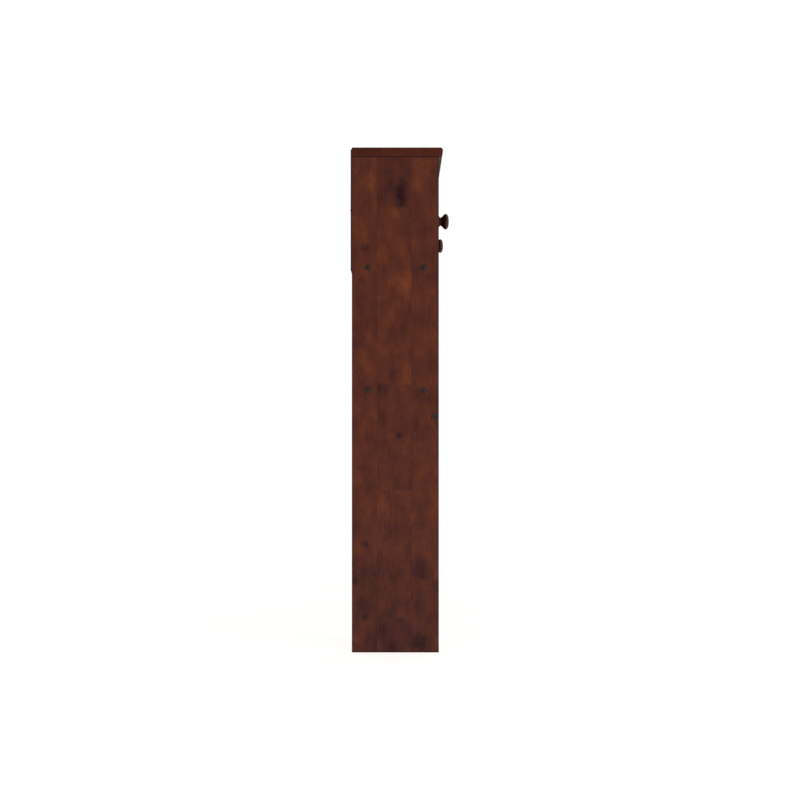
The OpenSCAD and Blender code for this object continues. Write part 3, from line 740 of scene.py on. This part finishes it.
class HALLTREE_OT_stage(bpy.types.Operator):
    """Set the camera, the pale floor, the backdrop light and the soft boxes"""

    bl_idname = "halltree.stage"
    bl_label = "Stage and lights"

    def execute(self, context):
        scene = context.scene
        side_low, side_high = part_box("side_panel_left")

        # the camera looks straight at the left side, a little below half height
        distance, before_rear, eye_level = 2.908, 0.1687, 0.7919
        camera = placed("camera", bpy.data.cameras.new("camera"))
        camera.data.lens = 38.93
        camera.data.sensor_width = 36.0
        camera.data.shift_x = -0.0025
        camera.data.shift_y = 0.02125
        camera.location = (side_low.x - distance, side_high.y - before_rear, eye_level)
        camera.rotation_euler = (math.radians(90), 0, math.radians(-90))
        scene.camera = camera

        bm = bmesh.new()
        bmesh.ops.create_grid(bm, x_segments=8, y_segments=8, size=7.0)
        floor = placed("floor", mesh_of(bm, "floor"))
        below_feet = 0.2 * MM
        floor.location.z = CAD_BOX[0][2] - below_feet
        material, tree = new_material("matt_white_studio_floor")
        speckle = add(tree, "TexNoise", {"Vector": add(tree, "TexCoord").outputs["Object"], "Scale": 40.0})
        tint = scene.hall_tree_colours.floor
        rough = add(tree, "MapRange", [speckle, 0.0, 1.0, 0.75, 0.85])
        surface = add(tree, "BsdfPrincipled", {"Base Color": tint, "Emission Color": tint, "Roughness": rough,
                                               "Emission Strength": 2.0, "Specular IOR Level": 0.0})
        close_material(tree, surface)
        floor.data.materials.append(material)

        world = bpy.data.worlds.new("studio")
        scene.world = world
        world.use_nodes = True
        world.node_tree.nodes.clear()
        seen = add(world.node_tree, "LightPath").outputs["Is Camera Ray"]
        level = add(world.node_tree, "MapRange", [seen, 0.0, 1.0, 0.2, 1.05])
        sky = add(world.node_tree, "Background", {"Color": (1.0, 1.0, 1.0, 1.0), "Strength": level})
        add(world.node_tree, "OutputWorld", {"Surface": sky})

        # broad skies from four sides and overhead light floor and object evenly; tall boxes give the gloss
        for name, towards, strength in (("left_front_sky", (-3.0, -3.0, 2.4), 0.62),
                                        ("left_rear_sky", (-3.0, 3.0, 2.4), 0.62),
                                        ("right_front_sky", (3.0, -3.0, 2.4), 0.5),
                                        ("right_rear_sky", (3.0, 3.0, 2.4), 0.5),
                                        ("overhead_sky", (0.0, -0.6, 3.0), 0.3)):
            light_up(name, "SUN", strength, towards, Vector((0, 0, 0))).angle = math.radians(60)
        for name, place, watts in (("left_front_box", (-2.2, -3.2, 1.7), 30),
                                   ("left_rear_box", (-2.0, 3.2, 1.7), 12),
                                   ("right_front_box", (2.2, -3.0, 1.9), 12),
                                   ("right_rear_box", (2.6, 3.0, 1.9), 12)):
            box = light_up(name, "AREA", watts, place, Vector((0, 0, 0.95)))
            box.shape = "RECTANGLE"
            box.size = 1.2
            box.size_y = 2.6
        return {"FINISHED"}


class HALLTREE_OT_side_panels(bpy.types.Operator):
    """Build the two full-height side panels of edge-glued pine"""

    bl_idname = "halltree.side_panels"
    bl_label = "Side panels"

    def execute(self, context):
        low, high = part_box("side_panel_left")
        rear = high.y

        def strip(near, far, joints, shades):
            """A strip between two distances from the rear edge, in millimetres."""
            return Strip(rear - far * MM, rear - near * MM, [z * MM for z in joints], shades)

        left = [strip(200, 340, [246, 1048, 1661], [-0.02, 0.0, 0.02, 0.0]),
                strip(85, 200, [118, 545, 903, 1184, 1498], [-0.02, 0.02, -0.02, 0.03, 0.05, -0.05]),
                strip(-50, 85, [566], [-0.02, 0.02])]
        # knots, then stains: distance from the rear edge, height, width, length, in millimetres, and strength
        knots = [(43, 1361, 17, 17, -0.28), (43, 364, 15, 15, -0.26), (45, 119, 14, 14, -0.24),
                 (159, 731, 12, 12, -0.24), (9, 240, 15, 19, -0.22)]
        stains = [(165, 1545, 22, 62, -0.3), (228, 274, 34, 44, -0.18), (230, 39, 34, 36, -0.16),
                  (97, 875, 26, 60, -0.14), (222, 1278, 26, 34, -0.12), (105, 80, 26, 50, -0.12),
                  (40, 1640, 26, 30, -0.08), (70, 1575, 16, 70, 0.16), (185, 1250, 16, 90, 0.16),
                  (190, 929, 20, 50, 0.12), (120, 581, 30, 60, 0.12), (240, 1600, 40, 70, 0.08),
                  # the last, broad dark mark low on the panel is painted shade, darker towards the floor
                  (146, 20, 230, 330, -0.13)]
        marks = [Mark(rear - across * MM, along * MM, wide * MM, tall * MM, strength, knot)
                 for spots, knot in ((knots, True), (stains, False))
                 for across, along, wide, tall, strength in spots]
        # painted shade: the shadow under the top board's overhang, and darker bands along the front and bottom
        # edges
        creases = [("Z", high.z, *JOINT_SHADOW), ("Y", low.y, 4 * MM, -0.2), ("Z", low.z, 5 * MM, -0.25)]
        right = glue_up("side_panel_right", "Z", "Y", 3, 5)
        bore, before_face, bore_depth = 3.15 * MM, 2 * MM, 30 * MM
        for node, plan, way in (("side_panel_left", (left, marks), 1), ("side_panel_right", right, -1)):
            bolts = [bolt for bolt in fasteners("frame_bolts") if bolt.into.x * way > 0]
            holes = bmesh.new()
            for bolt in bolts:
                rod(holes, bore, bolt.head - before_face * bolt.into, bolt.head + bore_depth * bolt.into)
            finish = pine(node, "Z", "Y", plan, creases=creases, bolts=bolts)
            board_piece(node, finish, context.scene.hall_tree_sizes.board_ease, holes)
        return {"FINISHED"}


class HALLTREE_OT_top_board(bpy.types.Operator):
    """Build the top board with its moulded front and ends"""

    bl_idname = "halltree.top_board"
    bl_label = "Top board"

    def execute(self, context):
        sizes = context.scene.hall_tree_sizes
        low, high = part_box("top_board")
        thick = high.z - low.z
        rear_round, sharpest = 1.2 * MM, 0.2 * MM
        crest = thick - sizes.top_upper_round
        slack = math.asin(crest / sizes.top_lower_round)
        # the edge in section, as setbacks and heights: a slack round up to the crest, and a tight one over it
        rising = [-slack * (1 - i / 6) for i in range(7)]
        levels = [(radius * (1 - math.cos(a)), crest + radius * math.sin(a))
                  for radius, angles in ((sizes.top_lower_round, rising),
                                         (sizes.top_upper_round, quarter_turn(10)[1:])) for a in angles]

        bm = bmesh.new()
        loops = []
        for setback, height in levels:
            sunk = max(0.0, rear_round - (thick - height))
            back_in = rear_round - math.sqrt(rear_round ** 2 - sunk ** 2)
            corner = max(sizes.top_corner - setback, sharpest)
            points = [(high.x - setback, high.y - back_in)]
            for side in (1, -1):
                heart_x = side * (high.x - setback - corner)
                heart_y = low.y + setback + corner
                points += [(heart_x + side * corner * math.cos(a), heart_y - corner * math.sin(a))
                           for a in quarter_turn(6)[::side]]
            points.append((low.x + setback, high.y - back_in))
            loops.append([bm.verts.new((x, y, low.z + height)) for x, y in points])
        for lower, upper in zip(loops, loops[1:]):
            for i in range(len(lower)):
                bm.faces.new((lower[i - 1], lower[i], upper[i], upper[i - 1]))
        bm.faces.new(loops[0])
        bm.faces.new(loops[-1])
        # painted shadow along the lower edge of the top's ends and front, where it sits on the side panels
        band_shade = [("Z", low.z, *JOINT_SHADOW)]
        finish = glued_pine("top_board", "X", "Y", 3, 11, creases=band_shade, rub=0.0)
        finish_piece("top_board_moulded", mesh_of(bm, "top_board_moulded"), finish, "top_board")
        return {"FINISHED"}


class HALLTREE_OT_cabinet(bpy.types.Operator):
    """Build the cabinet's floor, divider and plywood back"""

    bl_idname = "halltree.cabinet"
    bl_label = "Cabinet"

    def execute(self, context):
        ease = context.scene.hall_tree_sizes.board_ease
        tints = context.scene.hall_tree_colours
        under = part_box("cabinet_floor")[0].z
        shown = [nut for nut in fasteners("barrel_nuts") if abs(nut.head.z - under) < MM]
        holes = round_holes(shown + fasteners("divider_screws"))
        board_piece("cabinet_floor", glued_pine("cabinet_floor", "X", "Y", 3, 21), ease, holes)
        board_piece("cabinet_divider", glued_pine("cabinet_divider", "Z", "Y", 3, 23), ease)
        finish = plywood("stained_plywood_back", "back_panel", tints.back_dark, tints.back_edge, "Y")
        board_piece("back_panel", finish, 0.4 * MM)
        return {"FINISHED"}


class HALLTREE_OT_shelf_and_rails(bpy.types.Operator):
    """Build the shelf, the apron under it and the two hook rails"""

    bl_idname = "halltree.shelf_and_rails"
    bl_label = "Shelf and rails"

    def execute(self, context):
        nuts = fasteners("barrel_nuts")
        under_shelf = [nut for nut in nuts if abs(nut.head.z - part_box("mid_shelf")[0].z) < MM]
        behind_apron = [nut for nut in nuts if abs(nut.head.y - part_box("front_apron")[1].y) < MM]
        for node, across, count, seed, holes in (("mid_shelf", "Y", 3, 31, round_holes(under_shelf)),
                                                 ("front_apron", "Z", 2, 33, round_holes(behind_apron)),
                                                 ("upper_hook_rail", "Z", 1, 35, None),
                                                 ("lower_hook_rail", "Z", 1, 37, None)):
            finish = glued_pine(node, "X", across, count, seed)
            board_piece(node, finish, context.scene.hall_tree_sizes.board_ease, holes)
        return {"FINISHED"}


class HALLTREE_OT_drawers(bpy.types.Operator):
    """Build the two drawers' fronts, sides, backs and bottoms"""

    bl_idname = "halltree.drawers"
    bl_label = "Drawers"

    def execute(self, context):
        sizes, tints = context.scene.hall_tree_sizes, context.scene.hall_tree_colours
        for seed, side in ((41, "left_drawer_"), (43, "right_drawer_")):
            front, back, bottom = side + "front", side + "back", side + "bottom"
            board_piece(front, glued_pine(front, "X", "Z", 4, seed), sizes.front_ease)
            for node in (side + "side_outer", side + "side_inner"):
                low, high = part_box(node)
                own = [s for s in fasteners(side + "screws") if low.x - MM < s.head.x < high.x + MM]
                finish = glued_pine(node, "Y", "Z", 3, seed + 1, gloss=False)
                board_piece(node, finish, sizes.small_ease, countersinks(own))
            dress(back, glued_pine(back, "X", "Z", 3, seed + 2, gloss=False))
            finish = plywood("bare_plywood_" + bottom, bottom, tints.pine, tints.pine_dark, "Z")
            board_piece(bottom, finish, 0.3 * MM)
        return {"FINISHED"}


class HALLTREE_OT_guides(bpy.types.Operator):
    """Finish the runners, kickers and stop blocks inside the cabinet, and the dowels"""

    bl_idname = "halltree.guides"
    bl_label = "Drawer guides"

    def execute(self, context):
        plan = [(kind + str(number), "Y", "X", 60 + number) for number in range(1, 5)
                for kind in ("runner_", "kicker_")]
        plan += [(kind + side, "X", "Y", 70) for kind in ("pull_stop_", "close_stop_")
                 for side in ("left", "right")]
        plan.append(("frame_dowels", "X", "Y", 75))
        for node, along, across, seed in plan:
            dress(node, glued_pine(node, along, across, 1, seed, gloss=False))
        return {"FINISHED"}


class HALLTREE_OT_knobs(bpy.types.Operator):
    """Turn the two dark knobs"""

    bl_idname = "halltree.knobs"
    bl_label = "Knobs"

    def execute(self, context):
        sizes = context.scene.hall_tree_sizes
        finish = turned_wood("dark_turned_beech")
        foot, foot_rim, fullness = 21 * MM, 1.2 * MM, 0.85
        crown, neck = sizes.knob_crown, sizes.knob_neck_radius
        for node in ("left_drawer_knob", "right_drawer_knob"):
            low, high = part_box(node)
            reach, widest = high.y - low.y, (high.x - low.x) / 2
            outline = [(widest * math.sin(a) ** fullness,
                        reach - crown * (1 - max(0.0, math.cos(a)) ** fullness)) for a in quarter_turn(20)]
            for start, end, wide, narrow, steps in ((crown, sizes.knob_neck, widest, neck, 20),
                                                    (sizes.knob_neck, sizes.knob_flare, neck, foot, 12)):
                outline += [(narrow + (wide - narrow) * (1 + math.cos(math.pi * part)) / 2,
                             reach - start - (end - start) * part)
                            for part in (i / steps for i in range(1, steps + 1))]
            outline += [(foot - foot_rim + foot_rim * math.cos(a), foot_rim - foot_rim * math.sin(a))
                        for a in quarter_turn(4)]
            outline.append((0, 0))
            mesh = lathe(node + "_turned", outline, sizes.knob_turns)
            centre = Vector(((low.x + high.x) / 2, high.y, (low.z + high.z) / 2))
            mesh.transform(Matrix.Translation(centre) @ Matrix.Rotation(math.radians(90), 4, "X"))
            finish_piece(node + "_turned", mesh, finish, node, smooth_angle=60)
        return {"FINISHED"}


class HALLTREE_OT_hooks(bpy.types.Operator):
    """Cast the eight double hooks and put them on their rails"""

    bl_idname = "halltree.hooks"
    bl_label = "Coat hooks"

    def execute(self, context):
        finish = powder_coat("bronze_powder_coat")
        low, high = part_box("upper_hook_1")
        shape = self.cast(low, high, context.scene.hall_tree_sizes.hook_voxel)
        for row in ("upper", "lower"):
            for number in range(1, 5):
                node = f"{row}_hook_{number}"
                mesh = shape.copy()
                mesh.transform(Matrix.Translation(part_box(node)[0] - low))
                finish_piece(node + "_cast", mesh, finish, node, smooth_angle=180)
        return {"FINISHED"}

    @staticmethod
    def prong(bm, path, radii, ball, ball_radius):
        """A tapered rod through the path's points, with a ball on its end."""
        line = bpy.data.curves.new("prong", "CURVE")
        line.dimensions = "3D"
        line.bevel_depth = 1.0
        line.bevel_resolution = 6
        line.use_fill_caps = True
        spline = line.splines.new("POLY")
        spline.points.add(len(path) - 1)
        for point, spot, radius in zip(spline.points, path, radii):
            point.co = (*spot, 1.0)
            point.radius = radius
        holder = bpy.data.objects.new("prong", line)
        bm.from_mesh(holder.to_mesh())
        holder.to_mesh_clear()
        bpy.data.objects.remove(holder)
        bpy.data.curves.remove(line)
        bmesh.ops.create_uvsphere(bm, u_segments=32, v_segments=20, radius=ball_radius,
                                  matrix=Matrix.Translation(ball))

    def cast(self, low, high, voxel):
        """The hook's mesh: plate, two prongs and balls, melted together like a casting."""
        back = high.y
        middle = (low.x + high.x) / 2
        half = (high.x - low.x) / 2
        rod_r, plate_t, plate_h = 4.5 * MM, 5 * MM, 74 * MM
        boss_r, boss_proud = 1.7 * rod_r, 1.5 * MM
        bm = bmesh.new()
        for inset, out in ((0.0, 0.6 * plate_t), (2.5 * MM, plate_t)):
            ends = [low.z + half, low.z + plate_h - half]
            for level in ends:
                rod(bm, half - inset, (middle, back, level), (middle, back - out, level), 48)
            edge = half - inset
            block(bm, (middle - edge, back - out, ends[0]), (middle + edge, back, ends[1]), 0.1 * MM)
        # each prong: its level from the plate's middle, straight run, bend, rise above the bend, and ball
        for level, run, bend, rise, ball_r in ((11 * MM, 38 * MM, 16 * MM, 10 * MM, 8 * MM),
                                               (-25 * MM, 20 * MM, 12 * MM, 2 * MM, 7 * MM)):
            start = low.z + plate_h / 2 + level
            path = [(middle, back - run * i / 4, start) for i in range(4)]
            path += [(middle, back - run - bend * math.sin(a), start + bend * (1 - math.cos(a)))
                     for a in quarter_turn(12)]
            ball = Vector((middle, back - run - bend, start + bend + rise))
            path.append(tuple(ball))
            radii = [rod_r * (1.25 - 0.4 * i / (len(path) - 1)) for i in range(len(path))]
            self.prong(bm, path, radii, ball, ball_r)
            rod(bm, boss_r, (middle, back, start), (middle, back - plate_t - boss_proud, start), 40)
        return shaped(mesh_of(bm, "hook_cast"), "hook_cast",
                      REMESH={"mode": "VOXEL", "voxel_size": voxel, "adaptivity": 0.0},
                      SMOOTH={"factor": 0.5, "iterations": 5})


class HALLTREE_OT_bolts_and_nuts(bpy.types.Operator):
    """Make the frame bolts with their hex sockets and the slotted barrel nuts"""

    bl_idname = "halltree.bolts_and_nuts"
    bl_label = "Frame bolts and barrel nuts"

    def execute(self, context):
        tints = context.scene.hall_tree_colours
        bolts, nuts = fasteners("frame_bolts"), fasteners("barrel_nuts")
        shape = bolt_shape("frame_bolt", bolts[0], 2.2 * MM)
        # the bolt heads' rims get painted shade, at a fifth of their colour
        finish = plated_steel("black_zinc_bolts", tints.black_zinc, 0.35, 0.5, 0.2)
        finish_piece("frame_bolts_socket", place_copies(shape, bolts, 81), finish, "frame_bolts")
        shape = nut_shape("barrel_nut", nuts[0])
        finish = plated_steel("bright_zinc_nuts", tints.zinc, 0.25, 0.4)
        finish_piece("barrel_nuts_slotted", place_copies(shape, nuts, 83), finish, "barrel_nuts")
        return {"FINISHED"}


class HALLTREE_OT_screws(bpy.types.Operator):
    """Make every set of cross-slotted screws"""

    bl_idname = "halltree.screws"
    bl_label = "Screws"

    def execute(self, context):
        tints = context.scene.hall_tree_colours
        zinc = plated_steel("bright_zinc_screws", tints.zinc, 0.25, 0.4)
        bronze = plated_steel("bronzed_screws", tints.bronze, 0.3, 0.45)
        dull = plated_steel("brown_zinc_back_screws", tints.back_dark, 0.4, 0.55)
        shank = 1.9 * MM
        # how far a head is domed, and how far it stands out
        flat, domed, low_dome, standing = (0.0, 0.0), (2.2 * MM, 0.0), (1.7 * MM, 0.0), (1.5 * MM, 1.5 * MM)
        plan = [("divider_screws", zinc, flat), ("kicker_screws", zinc, flat), ("runner_screws", zinc, flat),
                ("stop_screws", zinc, flat), ("hook_screws", bronze, standing),
                ("back_screws", dull, low_dome), ("left_drawer_screws", zinc, flat),
                ("right_drawer_screws", zinc, flat),
                ("left_drawer_knob_screw", zinc, domed), ("right_drawer_knob_screw", zinc, domed)]
        for number, (node, finish, head) in enumerate(plan):
            places = fasteners(node)
            shortest = min(place.length for place in places)
            shape = screw_shape(node, places[0].radius, shortest, shank, *head)
            finish_piece(node + "_slotted", place_copies(shape, places, 90 + number), finish, node)
        return {"FINISHED"}


class HALLTREE_PT_panel(bpy.types.Panel):
    """Sizes, colours and building steps of the hall tree"""

    bl_idname = "HALLTREE_PT_panel"
    bl_label = "Hall Tree"
    bl_space_type = "VIEW_3D"
    bl_region_type = "UI"
    bl_category = "Hall Tree"

    def draw(self, context):
        for group in (context.scene.hall_tree_sizes, context.scene.hall_tree_colours):
            for name in group.__annotations__:
                self.layout.prop(group, name)
        for operator in OPERATORS:
            self.layout.operator(operator.bl_idname)


OPERATORS = (HALLTREE_OT_stage, HALLTREE_OT_side_panels, HALLTREE_OT_top_board, HALLTREE_OT_cabinet,
             HALLTREE_OT_shelf_and_rails, HALLTREE_OT_drawers, HALLTREE_OT_guides, HALLTREE_OT_knobs,
             HALLTREE_OT_hooks, HALLTREE_OT_bolts_and_nuts, HALLTREE_OT_screws)
CLASSES = (HallTreeSizes, HallTreeColours) + OPERATORS + (HALLTREE_PT_panel,)


def register():
    for item in CLASSES:
        bpy.utils.register_class(item)
    bpy.types.Scene.hall_tree_sizes = PointerProperty(type=HallTreeSizes)
    bpy.types.Scene.hall_tree_colours = PointerProperty(type=HallTreeColours)


def unregister():
    del bpy.types.Scene.hall_tree_colours
    del bpy.types.Scene.hall_tree_sizes
    for item in reversed(CLASSES):
        bpy.utils.unregister_class(item)


def main():
    """Build everything in order."""
    register()
    bpy.context.scene.view_settings.view_transform = "Standard"
    for operator in OPERATORS:
        group, name = operator.bl_idname.split(".")
        getattr(getattr(bpy.ops, group), name)()


if __name__ == "__main__":
    main()
